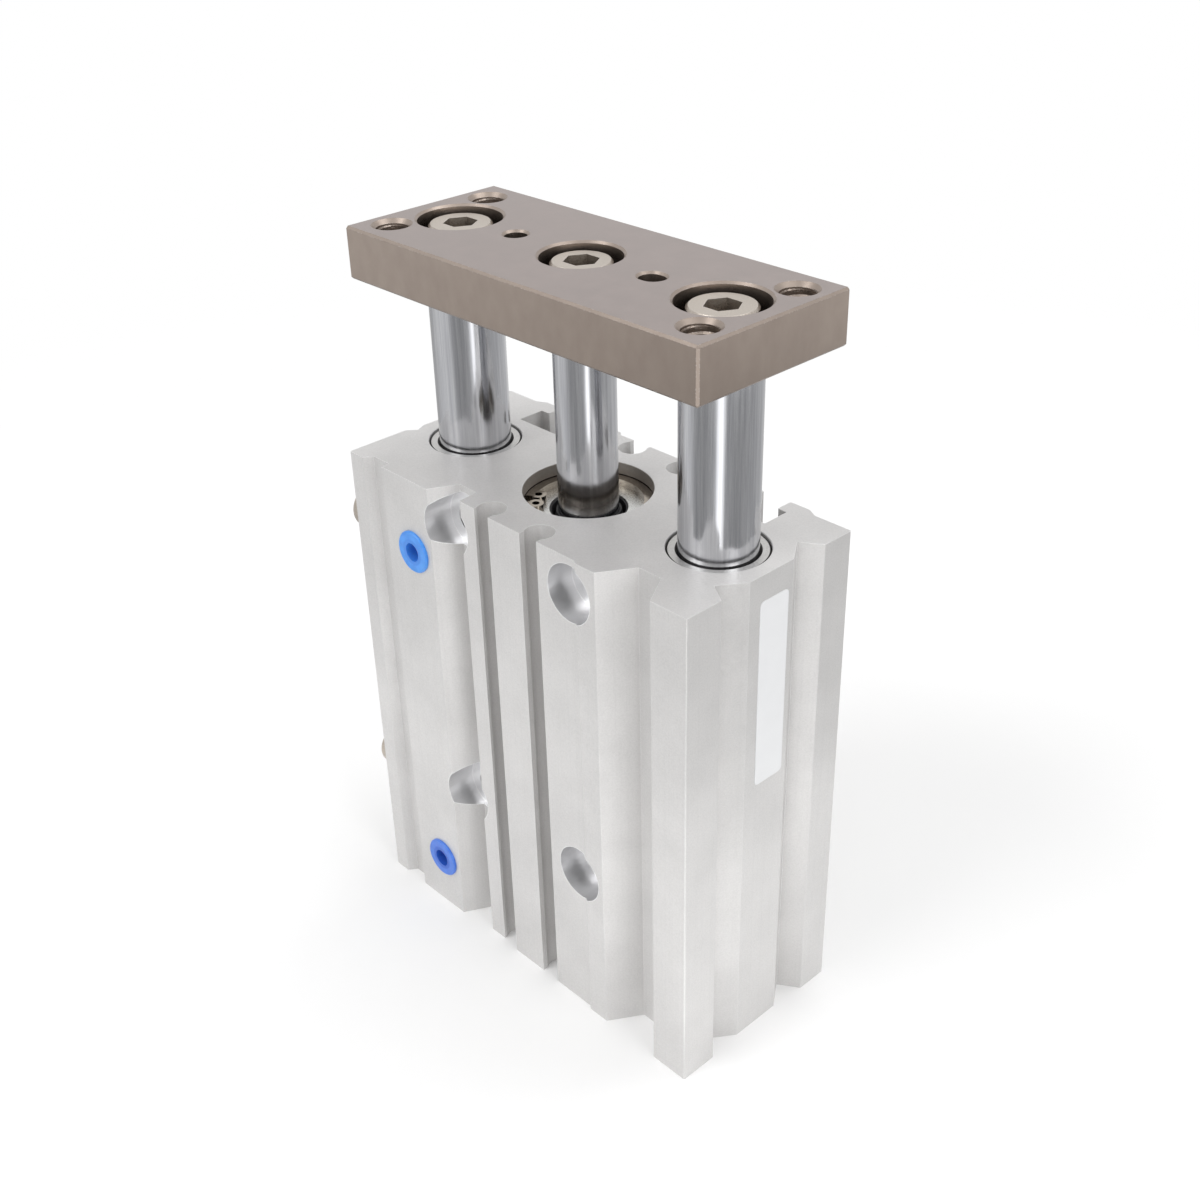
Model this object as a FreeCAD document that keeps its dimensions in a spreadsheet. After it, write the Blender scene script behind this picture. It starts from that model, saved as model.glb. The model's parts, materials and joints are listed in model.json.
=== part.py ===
import FreeCAD, Part
import math
import os
import re

import Sketcher

# Guided pneumatic cylinder: an extruded aluminium body with a central cylinder bore and two
# guide rods that carry a tooling plate. Millimetres. The origin is the centre of the body's
# lower end face, +Z points along the stroke, X runs along the row of rods and the front face,
# with the ports, looks along -Y. The plate is drawn part of the way out, at rest_extension.

SIZES = {
    # travel
    "stroke": 40.0,               # full travel of the plate
    "rest_extension": 18.2,       # how far the plate stands out as drawn
    "plate_gap": 6.0,             # body to plate when fully retracted
    "end_play": 0.1,              # bumper to cover at either end of the travel
    # body extrusion
    "body_width": 64.0,
    "body_depth": 30.0,
    "body_base": 33.0,            # body length beyond the stroke
    "edge_round": 0.2,            # rounding of the extrusion's long edges
    "strip_width": 2.8,           # narrow strip at the port side's corner
    "corner_step": 1.3,           # depth of the step beside that strip
    "step_run": 0.9,              # run of the slope into the step
    "port_land_outer": 24.9,      # port land, measured from the middle
    "port_land_inner": 15.1,
    "flute_depth": 4.0,           # flute between port land and switch lands
    "flute_run": 2.1,
    "flute_inner": 9.2,           # where the flute's steep wall starts
    "flute_inner_run": 0.4,
    "land_drop": 0.8,             # outer switch land below the front face
    "relief_drop": 0.4,           # middle of the front below the front face
    "relief_end": 13.0,           # where the front comes back to full height
    "relief_run": 0.6,
    "corner_flute_inner": 16.85,  # deep flute beside the label-side foot
    "corner_flute_run": 2.9,
    "corner_flute_depth": 4.6,
    "foot_width": 5.8,
    "foot_run": 2.7,
    "back_foot_drop": 0.8,        # back feet below the back face
    "back_foot_run": 1.4,
    "back_relief": 0.55,          # middle of the back below the back face
    "back_relief_half": 9.3,
    "end_foot": 5.7,              # foot on the end faces, measured from the front or back
    "end_flute_depth": 2.9,
    "end_flute_centre": 7.4,
    "end_bulge_half": 3.9,
    "end_bulge_drop": 0.45,
    "end_seam": 4.0,              # place of the shallow seam beside the end ports
    "end_seam_half": 1.4,
    "end_seam_depth": 0.7,
    # T-slots and switch grooves
    "slot_place": 19.4,
    "slot_neck": 4.4,
    "slot_width": 7.4,
    "slot_lip": 2.5,
    "slot_depth": 6.7,
    "switch_place": 4.6,
    "switch_neck": 3.2,
    "switch_bore": 4.0,
    "switch_depth": 4.4,          # from the front or back plane to the groove's bottom
    # bolt holes and ports
    "bolt_pitch_x": 24.0,
    "bolt_pitch_z": 44.0,
    "bolt_margin": 5.0,           # upper row to the upper end face
    "bolt_hole": 4.3,             # clearance for M4, and the tapping size of M5
    "counterbore": 8.0,
    "counterbore_depth": 4.5,
    "base_pitch_x": 56.0,         # tapped holes in the lower end face
    "base_pitch_y": 22.0,
    "base_hole_depth": 12.0,
    "port_place": 19.0,           # ports left of the middle
    "port_margin": 10.8,          # upper ports to the upper end face
    "port_base": 8.8,             # lower port to the lower end face
    "port_hole": 4.2,
    "port_depth": 7.0,
    "side_port_inset": 4.6,       # front face to the end ports
    "side_port_base": 20.2,       # lower end port to the lower end face
    "side_port_depth": 6.0,
    "passage": 2.0,               # drilled air passages
    "ball": 3.0,
    "ball_recess": 0.5,
    # cylinder bore and its covers
    "bore": 16.0,
    "cover_seat": 17.2,
    "cover_fit": 0.02,            # radial gap between a cover and its seat
    "mouth_chamfer": 0.1,         # edges of the bores in the two end faces
    "rim_chamfer": 0.3,           # outer edges of the covers and the piston
    "ring_depth": 1.8,            # end face to retaining ring
    "ring_thick": 1.0,
    "ring_play": 0.1,
    "ring_groove": 0.5,           # depth of the ring's groove
    "ring_width": 1.8,
    "ear_diameter": 2.1,
    "ear_pitch": 2.6,
    "ear_place": 6.8,
    "ear_hole": 1.0,
    "ring_gap": 1.6,
    "head_cover_length": 3.4,
    "rod_cover_length": 6.2,      # the part of the rod cover in its seat
    "rod_cover_groove": 1.5,      # seat to the rod cover's gasket groove
    "nose_gap": 0.5,              # radial gap between the rod cover's nose and the bore
    "rod_gap": 0.1,               # radial gap round the piston rod
    "gasket": 1.0,                # section of the O-rings
    "gasket_groove": 1.4,
    "gasket_play": 0.05,
    "seal_outer": 10.4,
    "seal_height": 3.0,
    "seal_recess": 0.2,
    "seal_lip": 0.25,
    # piston
    "rod": 8.0,
    "piston_length": 9.8,
    "piston_gap": 0.15,           # radial gap between piston and bore
    "piston_seal": 2.2,
    "piston_seal_gap": 0.05,
    "piston_seal_groove": 1.8,
    "magnet": 3.5,
    "magnet_groove": 2.0,
    "magnet_cover": 0.5,          # magnet below the piston's outside
    "magnet_chamfer": 0.2,
    "spigot": 5.0,
    "spigot_fit": 0.02,
    "rivet": 6.8,
    "rivet_height": 1.2,
    "bumper": 1.5,
    "bumper_inner": 8.4,
    "bumper_outer": 13.0,
    "bumper_chamfer": 0.25,
    # guide rods and their slide bearings
    "guide_rod": 10.0,
    "guide_inset": 9.0,           # end face to the guide rod's axis
    "guide_fit": 0.03,            # radial gap between rod and slide bearing
    "guide_lift": 2.0,            # rod end above the lower face when retracted
    "guide_relief": 11.0,         # guide bore below the bearings
    "bush_outer": 13.0,
    "bush_recess": 0.3,           # upper end face to the upper slide bearing
    "bush_chamfer": 0.3,
    "bush_margin": 1.0,           # rod end below the lower slide bearing when extended
    "upper_bush": 14.0,           # lengths of the slide bearings
    "lower_bush": 12.0,
    "rod_chamfer": 0.6,
    # plate and its bolts
    "plate_inset": 1.0,           # body's end face to the plate's end
    "plate_depth": 25.0,
    "plate_thick": 7.0,
    "plate_chamfer": 0.3,
    "plate_hole_inset": 4.0,      # plate's end to its corner holes
    "plate_pitch_y": 16.0,
    "plate_hole": 4.3,            # tapping size of M5
    "plate_hole_chamfer": 0.55,
    "dowel_inset": 11.0,          # guide rod's axis to the dowel hole
    "dowel": 3.0,
    "dowel_slot": 3.5,
    "dowel_depth": 5.0,
    "dowel_chamfer": 0.3,
    "bolt_seat": 5.0,             # depth of the counterbores in the plate
    "guide_counterbore": 11.2,
    "rod_counterbore": 10.4,
    "seat_chamfer": 0.3,
    "guide_bolt_head": 8.4,
    "rod_bolt_head": 7.8,
    "bolt_head_height": 4.3,
    "bolt_chamfer": 0.3,
    "bolt_shank": 5.0,
    "shank_hole": 5.4,
    "bolt_socket": 4.0,
    "bolt_socket_depth": 2.4,
    "bolt_reach": 12.0,           # thread in the rod
    "thread_core": 4.2,
    "tapped_hole": 4.3,
    "tapped_depth": 14.0,
    # plugs
    "port_flange": 6.1,
    "port_flange_thick": 0.4,
    "port_flange_chamfer": 0.15,
    "port_plug_stem": 5.0,
    "port_plug_cup": 2.7,
    "port_plug_cup_depth": 3.0,
    "side_head": 6.8,
    "side_head_thick": 2.7,
    "side_head_chamfer": 0.35,
    "side_stem": 4.0,
    "side_socket": 2.5,
    "side_socket_depth": 1.4,
    "side_gasket": 0.4,
    "side_gasket_chamfer": 0.05,
    "stem_fit": 0.05,             # radial gap of plug stems in their ports
    "plug_chamfer": 0.3,
}

# Places worked out from the sizes, all measured along Z from the body's lower end face.
HALF_WIDTH = "(body_width / 2)"
HALF_DEPTH = "(body_depth / 2)"
GUIDE_PLACE = f"({HALF_WIDTH} - guide_inset)"
PLATE_END = f"({HALF_WIDTH} - plate_inset)"
CORNER_PLACE = f"({PLATE_END} - plate_hole_inset)"
DOWEL_PLACE = f"({GUIDE_PLACE} - dowel_inset)"
BODY_HEIGHT = "(body_base + stroke)"
PLATE_BOTTOM = f"({BODY_HEIGHT} + plate_gap + rest_extension)"
HEAD_FACE = "(ring_depth + ring_thick + head_cover_length)"
CHAMBER_TOP = f"({HEAD_FACE} + stroke + piston_length + 2 * bumper + 2 * end_play)"
COVER_TOP = f"({BODY_HEIGHT} - ring_depth - ring_thick)"
COVER_SEAT = f"({COVER_TOP} - rod_cover_length)"
PISTON_BOTTOM = f"({HEAD_FACE} + end_play + bumper + rest_extension)"
PISTON_TOP = f"({PISTON_BOTTOM} + piston_length)"
BEARING_SEAT = "(guide_lift + stroke + bush_margin)"
GUIDE_BOTTOM = "(guide_lift + rest_extension)"
UPPER_BOLTS = f"({BODY_HEIGHT} - bolt_margin)"
LOWER_BOLTS = f"({BODY_HEIGHT} - bolt_margin - bolt_pitch_z)"
UPPER_PORT = f"({BODY_HEIGHT} - port_margin)"
SIDE_PORT = f"({HALF_DEPTH} - side_port_inset)"
PASSAGE_AIM = "(bore / 3)"  # the slanted passages end this far left of and before the bore's axis

BEYOND = 1  # how far a cutting outline runs past the surface that it opens
RING_TURN = -50  # degrees, turns the retaining rings' ears from the front towards the ports

doc = FreeCAD.newDocument("GuidedCylinder")
sheet = doc.addObject("Spreadsheet::Sheet", "Sizes")
for row, (alias, number) in enumerate(SIZES.items(), 1):
    sheet.set(f"A{row}", alias)
    sheet.set(f"B{row}", str(number))
    sheet.setAlias(f"B{row}", alias)
doc.recompute()


# ---- helpers: formulas, sketches and features ----

def cells(formula):
    """Turn each size name in a formula into a reference to its cell."""
    return re.sub(r"[a-z]\w+", lambda word: f"Sizes.{word[0]}" if word[0] in SIZES else word[0], formula)


def bind(thing, path, formula):
    thing.setExpression(path, cells(formula))


def new_body(label):
    body = doc.addObject("PartDesign::Body", label)
    body.Label = label
    return body


def place(body, x="0", y="0", z="0", turn=None):
    """Put a body at (x, y, z), turned first."""
    if turn:
        body.Placement = FreeCAD.Placement(FreeCAD.Vector(), turn)
    for axis, formula in zip("xyz", (x, y, z)):
        bind(body, f"Placement.Base.{axis}", formula)


def origin_plane(body, role):
    return next(item for item in body.Origin.OriginFeatures if item.Role == role)


def sketch_on(body, name, role="XY_Plane", offset="0"):
    """Sketch on one of the body's planes, moved by offset along the plane's normal."""
    sketch = body.newObject("Sketcher::SketchObject", name)
    sketch.AttachmentSupport = [(origin_plane(body, role), "")]
    sketch.MapMode = "FlatFace"
    bind(sketch, "AttachmentOffset.Base.z", offset)
    return sketch


def fix_point(sketch, shape, end, x, y):
    """Tie one point of the sketch to the formulas x and y, from the sketch's origin."""
    start = sketch.getPoint(shape, end)
    for kind, formula, value in (("DistanceX", x, start.x), ("DistanceY", y, start.y)):
        index = sketch.addConstraint(Sketcher.Constraint(kind, -1, 1, shape, end, value))
        bind(sketch, f"Constraints[{index}]", formula)


def outline(sketch, corners):
    """Closed straight-sided outline through corners given as pairs of formulas."""
    count = len(corners)
    angles = [2 * math.pi * index / count for index in range(count)]
    ring = [FreeCAD.Vector(math.cos(angle), math.sin(angle), 0) for angle in angles]
    start = sketch.GeometryCount
    sketch.addGeometry([Part.LineSegment(ring[i], ring[(i + 1) % count]) for i in range(count)], False)
    for index in range(count):
        following = start + (index + 1) % count
        sketch.addConstraint(Sketcher.Constraint("Coincident", start + index, 2, following, 1))
    for index, (x, y) in enumerate(corners):
        fix_point(sketch, start + index, 1, x, y)
    return sketch


def rectangle(sketch, x0, y0, x1, y1):
    return outline(sketch, [(x0, y0), (x1, y0), (x1, y1), (x0, y1)])


def circle(sketch, x, y, diameter):
    shape = sketch.addGeometry(Part.Circle(), False)
    fix_point(sketch, shape, 3, x, y)
    index = sketch.addConstraint(Sketcher.Constraint("Diameter", shape, 2.0))
    bind(sketch, f"Constraints[{index}]", diameter)
    return sketch


def hexagon(sketch, flats):
    """Regular hexagon about the origin, measured across its flats."""
    far, near, half = f"{flats} / sqrt(3)", f"{flats} / sqrt(12)", f"{flats} / 2"
    return outline(sketch, [(far, "0"), (near, half), (f"-{near}", half),
                            (f"-{far}", "0"), (f"-{near}", f"-{half}"), (near, f"-{half}")])


def pad(body, sketch, length):
    feature = body.newObject("PartDesign::Pad", f"{sketch.Name}Pad")
    feature.Profile = sketch
    bind(feature, "Length", length)
    return feature


def pocket(body, sketch, depth=None, forward=False):
    """Cut against the sketch's normal, or along it if forward; through everything without a depth."""
    feature = body.newObject("PartDesign::Pocket", f"{sketch.Name}Cut")
    feature.Profile = sketch
    feature.Reversed = forward
    if depth is None:
        feature.Type = "ThroughAll"
    else:
        bind(feature, "Length", depth)
    return feature


def spin(body, sketch, kind, axis="V_Axis"):
    """Revolution or Groove all the way round an axis of the sketch."""
    feature = body.newObject(f"PartDesign::{kind}", f"{sketch.Name}{kind}")
    feature.Profile = sketch
    feature.ReferenceAxis = (sketch, [axis])
    feature.Angle = 360
    return feature


def stepped_bore(body, name, x, top, corners):
    """Round hole about the upright line at x, from the (x, z) corners of its half section."""
    sketch = outline(sketch_on(body, name, "XZ_Plane"), corners)
    upright = Part.LineSegment(FreeCAD.Vector(1, 0, 0), FreeCAD.Vector(1, 1, 0))
    axis = sketch.addGeometry(upright, True)
    fix_point(sketch, axis, 1, x, "0")
    fix_point(sketch, axis, 2, x, top)
    return spin(body, sketch, "Groove", "Axis0")


def mirror(body, feature, role):
    copy = body.newObject("PartDesign::Mirrored", f"{feature.Name}Mirror")
    copy.Originals = [feature]
    copy.MirrorPlane = (origin_plane(body, role), [""])
    body.Tip = copy
    return copy


def turned(label, profile):
    """Body of revolution about its own Z axis from (radius, height) formulas."""
    body = new_body(label)
    spin(body, outline(sketch_on(body, f"{label}_profile", "XZ_Plane"), profile), "Revolution")
    return body


def tube(label, inner, outer, length, chamfer):
    """Turned tube with its four rims chamfered."""
    return turned(label, [
        (f"{inner} / 2", chamfer), (f"{inner} / 2 + {chamfer}", "0"),
        (f"{outer} / 2 - {chamfer}", "0"), (f"{outer} / 2", chamfer),
        (f"{outer} / 2", f"{length} - {chamfer}"), (f"{outer} / 2 - {chamfer}", length),
        (f"{inner} / 2 + {chamfer}", length), (f"{inner} / 2", f"{length} - {chamfer}")])


def o_ring(label, radius, section):
    body = new_body(label)
    ring = circle(sketch_on(body, f"{label}_section", "XZ_Plane"), radius, "0", section)
    spin(body, ring, "Revolution")
    return body


# ---- body extrusion ----

def flute(body, name, corners):
    """Groove that runs the whole length of the extrusion."""
    return pocket(body, outline(sketch_on(body, name), corners), forward=True)


def front_flutes(body):
    front, outside = f"-{HALF_DEPTH}", f"-{HALF_DEPTH} - {BEYOND}"
    step_start = f"-{HALF_WIDTH} + strip_width"
    flute(body, "CornerStep", [
        (step_start, outside), (step_start, front),
        (f"{step_start} + step_run", f"{front} + corner_step"),
        ("-port_land_outer", f"{front} + corner_step"), ("-port_land_outer", outside)])
    flute(body, "PortFlute", [
        ("-port_land_inner", outside), ("-port_land_inner", front),
        ("-port_land_inner + flute_run", f"{front} + flute_depth"),
        ("-flute_inner - flute_inner_run", f"{front} + flute_depth"),
        ("-flute_inner", f"{front} + land_drop"), ("-flute_inner", outside)])
    flute(body, "FrontRelief", [
        (f"-flute_inner - {BEYOND}", outside), (f"-flute_inner - {BEYOND}", f"{front} + land_drop"),
        ("-switch_place", f"{front} + land_drop"), ("-switch_place", f"{front} + relief_drop"),
        ("relief_end", f"{front} + relief_drop"), ("relief_end + relief_run", front),
        ("relief_end + relief_run", outside)])
    floor = f"{front} + corner_flute_depth"
    foot = f"{HALF_WIDTH} - foot_width"
    flute(body, "CornerFlute", [
        ("corner_flute_inner", outside), ("corner_flute_inner", front),
        ("corner_flute_inner + corner_flute_run", floor), (f"{foot} - foot_run", floor),
        (foot, front), (foot, outside)])


def back_flutes(body):
    back, outside = HALF_DEPTH, f"{HALF_DEPTH} + {BEYOND}"
    foot = f"{HALF_WIDTH} - foot_width"
    step = flute(body, "BackFoot", [
        (f"{foot} - back_foot_run", outside), (f"{foot} - back_foot_run", back),
        (foot, f"{back} - back_foot_drop"),
        (f"{HALF_WIDTH} + {BEYOND}", f"{back} - back_foot_drop"), (f"{HALF_WIDTH} + {BEYOND}", outside)])
    mirror(body, step, "YZ_Plane")
    flute(body, "BackRelief", [
        ("-back_relief_half", outside), ("-back_relief_half", back),
        ("-back_relief_half + back_relief", f"{back} - back_relief"),
        ("back_relief_half - back_relief", f"{back} - back_relief"),
        ("back_relief_half", back), ("back_relief_half", outside)])
    neck, half, lip = "slot_neck / 2", "slot_width / 2", f"{back} - slot_lip"
    slot = flute(body, "TeeSlot", [
        (f"slot_place - {neck}", outside), (f"slot_place - {neck}", lip),
        (f"slot_place - {half}", lip), (f"slot_place - {half}", f"{back} - slot_depth"),
        (f"slot_place + {half}", f"{back} - slot_depth"), (f"slot_place + {half}", lip),
        (f"slot_place + {neck}", lip), (f"slot_place + {neck}", outside)])
    mirror(body, slot, "YZ_Plane")


def switch_grooves(body):
    """Four round-bottomed grooves for position switches, two in front and two behind."""
    necks = sketch_on(body, "SwitchNecks")
    bores = sketch_on(body, "SwitchBores")
    centre = f"{HALF_DEPTH} - switch_depth + switch_bore / 2"
    for side in ("-", ""):
        for face in ("-", ""):
            rectangle(necks, f"{side}switch_place - switch_neck / 2", f"{face}({centre})",
                      f"{side}switch_place + switch_neck / 2", f"{face}({HALF_DEPTH} + {BEYOND})")
            circle(bores, f"{side}switch_place", f"{face}({centre})", "switch_bore")
    pocket(body, necks, forward=True)
    pocket(body, bores, forward=True)


def end_flutes(body):
    """V-grooves and the raised middle of the two end faces."""
    def foot(side):
        return f"{side}({HALF_DEPTH} - end_foot)"
    face, outside = HALF_WIDTH, f"{HALF_WIDTH} + {BEYOND}"
    apex, bulge = f"{HALF_WIDTH} - end_flute_depth", f"{HALF_WIDTH} - end_bulge_drop"
    flute(body, "LabelEnd", [
        (outside, foot("-")), (face, foot("-")), (apex, "-end_flute_centre"), (bulge, "-end_bulge_half"),
        (bulge, "end_bulge_half"), (apex, "end_flute_centre"), (face, foot("")), (outside, foot(""))])
    flute(body, "PortEnd", [
        (f"-({outside})", foot("")), (f"-({face})", foot("")), (f"-({apex})", "end_flute_centre"),
        (f"-({bulge})", "end_bulge_half"), (f"-({bulge})", "-end_seam + end_seam_half"),
        (f"-({bulge}) + end_seam_depth", "-end_seam"), (f"-({face})", "-end_seam - end_seam_half"),
        (f"-({outside})", "-end_seam - end_seam_half")])


def cylinder_bore(body):
    """Through bore with a seat and a retaining-ring groove at each end."""
    seat = "cover_seat / 2"
    groove, mouth = f"{seat} + ring_groove", f"{seat} + mouth_chamfer"
    ring_top = f"{COVER_TOP} + ring_thick + ring_play"
    profile = [
        ("0", "0"), (mouth, "0"), (seat, "mouth_chamfer"),
        (seat, "ring_depth - ring_play"), (groove, "ring_depth - ring_play"),
        (groove, "ring_depth + ring_thick"), (seat, "ring_depth + ring_thick"),
        (seat, HEAD_FACE), ("bore / 2", HEAD_FACE), ("bore / 2", COVER_SEAT), (seat, COVER_SEAT),
        (seat, COVER_TOP), (groove, COVER_TOP), (groove, ring_top), (seat, ring_top),
        (seat, f"{BODY_HEIGHT} - mouth_chamfer"), (mouth, BODY_HEIGHT), ("0", BODY_HEIGHT)]
    spin(body, outline(sketch_on(body, "CylinderBore", "XZ_Plane"), profile), "Groove")


def guide_bores(body):
    """Stepped bore for the slide bearings of one guide rod, mirrored for the other."""
    seat, relief = f"{GUIDE_PLACE} + bush_outer / 2", f"{GUIDE_PLACE} + guide_relief / 2"
    bore = stepped_bore(body, "GuideBore", GUIDE_PLACE, BODY_HEIGHT, [
        (GUIDE_PLACE, "0"), (f"{relief} + mouth_chamfer", "0"), (relief, "mouth_chamfer"),
        (relief, BEARING_SEAT), (seat, BEARING_SEAT), (seat, f"{BODY_HEIGHT} - mouth_chamfer"),
        (f"{seat} + mouth_chamfer", BODY_HEIGHT), (GUIDE_PLACE, BODY_HEIGHT)])
    mirror(body, bore, "YZ_Plane")


def bolt_holes(body):
    """Four holes through the depth, counterbored in front, and four in the lower end face."""
    holes = sketch_on(body, "BoltHoles", "XZ_Plane", HALF_DEPTH)
    seats = sketch_on(body, "BoltSeats", "XZ_Plane", HALF_DEPTH)
    for side in ("-", ""):
        for height in (LOWER_BOLTS, UPPER_BOLTS):
            circle(holes, f"{side}bolt_pitch_x / 2", height, "bolt_hole")
            circle(seats, f"{side}bolt_pitch_x / 2", height, "counterbore")
    pocket(body, holes)
    pocket(body, seats, "counterbore_depth")
    tapped = sketch_on(body, "BaseHoles")
    for side in ("-", ""):
        for face in ("-", ""):
            circle(tapped, f"{side}base_pitch_x / 2", f"{face}base_pitch_y / 2", "bolt_hole")
    pocket(body, tapped, "base_hole_depth", forward=True)


def air_ports(body):
    """Front ports, end ports and the drilled passages that join them to the cylinder bore."""
    front = sketch_on(body, "FrontPorts", "XZ_Plane", HALF_DEPTH)
    ends = sketch_on(body, "EndPorts", "YZ_Plane", f"-{HALF_WIDTH}")
    links = sketch_on(body, "EndPassages", "YZ_Plane", f"-{HALF_WIDTH}")
    for height in ("port_base", UPPER_PORT):
        circle(front, "-port_place", height, "port_hole")
    for height in ("side_port_base", UPPER_PORT):
        circle(ends, f"-{SIDE_PORT}", height, "port_hole")
        circle(links, f"-{SIDE_PORT}", height, "passage")
    pocket(body, front, "port_depth")
    pocket(body, ends, "side_port_depth", forward=True)
    pocket(body, links, f"{HALF_WIDTH} - port_place", forward=True)
    riser = circle(sketch_on(body, "Riser"), "-port_place", f"-{SIDE_PORT}", "passage")
    pocket(body, riser, "side_port_base", forward=True)
    ball_seat = circle(sketch_on(body, "BallSeat"), "-port_place", f"-{SIDE_PORT}", "ball")
    pocket(body, ball_seat, "ball + ball_recess", forward=True)
    slant = sketch_on(body, "SlantPassages", "YZ_Plane", "-port_place")
    for height in ("port_base", UPPER_PORT):
        circle(slant, f"-{SIDE_PORT}", height, "passage")
    across, inward = f"(port_place - {PASSAGE_AIM})", f"({SIDE_PORT} - {PASSAGE_AIM})"
    feature = pocket(body, slant, f"sqrt({across}^2 + {inward}^2)")
    feature.UseCustomVector = True
    feature.AlongSketchNormal = False
    bind(feature, "Direction.x", across)
    bind(feature, "Direction.y", inward)
    bind(feature, "Direction.z", "0")


def is_outer_corner(shape, edge, least_turn=math.radians(45)):
    """True for a long edge where two flat faces meet at a clear outward corner."""
    if edge.BoundBox.XLength + edge.BoundBox.YLength > 1e-6:
        return False
    one, other = shape.ancestorsOfType(edge, Part.Face)
    normal = one.normalAt(0, 0)
    falls_back = normal.dot(other.CenterOfMass - edge.CenterOfMass) < 0
    return falls_back and normal.getAngle(other.normalAt(0, 0)) > least_turn


def round_long_edges(body):
    """Round the outer corners of the extrusion's section, before holes are cut in it."""
    doc.recompute()
    base = body.Tip
    corners = [f"Edge{index}" for index, edge in enumerate(base.Shape.Edges, 1)
               if is_outer_corner(base.Shape, edge)]
    fillet = body.newObject("PartDesign::Fillet", "LongEdges")
    fillet.Base = (base, corners)
    bind(fillet, "Radius", "edge_round")


def make_body():
    body = new_body("body")
    billet = sketch_on(body, "Billet")
    rectangle(billet, f"-{HALF_WIDTH}", f"-{HALF_DEPTH}", HALF_WIDTH, HALF_DEPTH)
    pad(body, billet, BODY_HEIGHT)
    front_flutes(body)
    back_flutes(body)
    end_flutes(body)
    round_long_edges(body)
    switch_grooves(body)
    cylinder_bore(body)
    guide_bores(body)
    bolt_holes(body)
    air_ports(body)


# ---- covers, seals and rings in the cylinder bore ----

def retaining_ring(label, height):
    """Internal retaining ring whose two ears stand towards -Y before it is turned."""
    body = new_body(label)
    outer = "(cover_seat / 2 + ring_groove - cover_fit)"
    ring = circle(sketch_on(body, f"{label}_ring"), "0", "0", f"2 * {outer}")
    circle(ring, "0", "0", f"2 * ({outer} - ring_width)")
    pad(body, ring, "ring_thick")
    gap = sketch_on(body, f"{label}_gap")
    rectangle(gap, "-ring_gap / 2", f"-{outer} - {BEYOND}", "ring_gap / 2", "0")
    pocket(body, gap, forward=True)
    ears = sketch_on(body, f"{label}_ears")
    holes = sketch_on(body, f"{label}_holes")
    for side in ("-", ""):
        circle(ears, f"{side}ear_pitch / 2", "-ear_place", "ear_diameter")
        circle(holes, f"{side}ear_pitch / 2", "-ear_place", "ear_hole")
    pad(body, ears, "ring_thick")
    pocket(body, holes, forward=True)
    place(body, z=height, turn=FreeCAD.Rotation(FreeCAD.Vector(0, 0, 1), RING_TURN))


def make_covers():
    outer = "(cover_seat / 2 - cover_fit)"
    groove = "(cover_seat / 2 - gasket - 2 * gasket_play)"
    middle = "(head_cover_length / 2)"
    half = "gasket_groove / 2"
    body = turned("head_cover", [
        ("0", "0"), (f"{outer} - rim_chamfer", "0"), (outer, "rim_chamfer"),
        (outer, f"{middle} - {half}"), (groove, f"{middle} - {half}"),
        (groove, f"{middle} + {half}"), (outer, f"{middle} + {half}"),
        (outer, "head_cover_length"), ("0", "head_cover_length")])
    place(body, z="ring_depth + ring_thick")
    gasket_radius = "cover_seat / 2 - gasket / 2 - gasket_play"
    gasket = o_ring("head_cover_gasket", gasket_radius, "gasket")
    place(gasket, z=f"ring_depth + ring_thick + {middle}")

    # the rod cover's nose hangs below its seat and stops the piston
    nose = f"({COVER_SEAT} - {CHAMBER_TOP})"
    length = f"({nose} + rod_cover_length)"
    hole = "(rod / 2 + rod_gap)"
    floor = f"{length} - seal_recess - seal_height"
    low, high = f"{nose} + rod_cover_groove", f"{nose} + rod_cover_groove + gasket_groove"
    cover = turned("rod_cover", [
        (hole, "0"), ("bore / 2 - nose_gap", "0"), ("bore / 2 - nose_gap", nose), (outer, nose),
        (outer, low), (groove, low), (groove, high), (outer, high),
        (outer, f"{length} - rim_chamfer"), (f"{outer} - rim_chamfer", length),
        ("seal_outer / 2", length), ("seal_outer / 2", floor), (hole, floor)])
    place(cover, z=CHAMBER_TOP)
    gasket = o_ring("rod_cover_gasket", gasket_radius, "gasket")
    place(gasket, z=f"{COVER_SEAT} + rod_cover_groove + {half}")

    inner, rim = "(rod / 2 + piston_seal_gap)", "(seal_outer / 2 - cover_fit)"
    seal = turned("rod_seal", [
        (inner, "0"), (rim, "0"), (rim, "seal_height"), (f"{rim} - seal_lip", "seal_height"),
        (f"({inner} + {rim}) / 2", "seal_height / 2"), (f"{inner} + seal_lip", "seal_height"),
        (inner, "seal_height")])
    place(seal, z=f"{COVER_TOP} - seal_recess - seal_height")
    retaining_ring("head_cover_ring", "ring_depth")
    retaining_ring("rod_cover_ring", COVER_TOP)


# ---- piston and rod ----

def rod_end(diameter, length):
    """Upper end of a rod, from its outside to its axis, with a chamfer and a tapped hole."""
    drill_point = "tapped_hole / 2 / sqrt(3)"
    return [
        (f"{diameter} / 2", f"{length} - rod_chamfer"), (f"{diameter} / 2 - rod_chamfer", length),
        ("tapped_hole / 2", length), ("tapped_hole / 2", f"{length} - tapped_depth"),
        ("0", f"{length} - tapped_depth - {drill_point}")]


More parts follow.
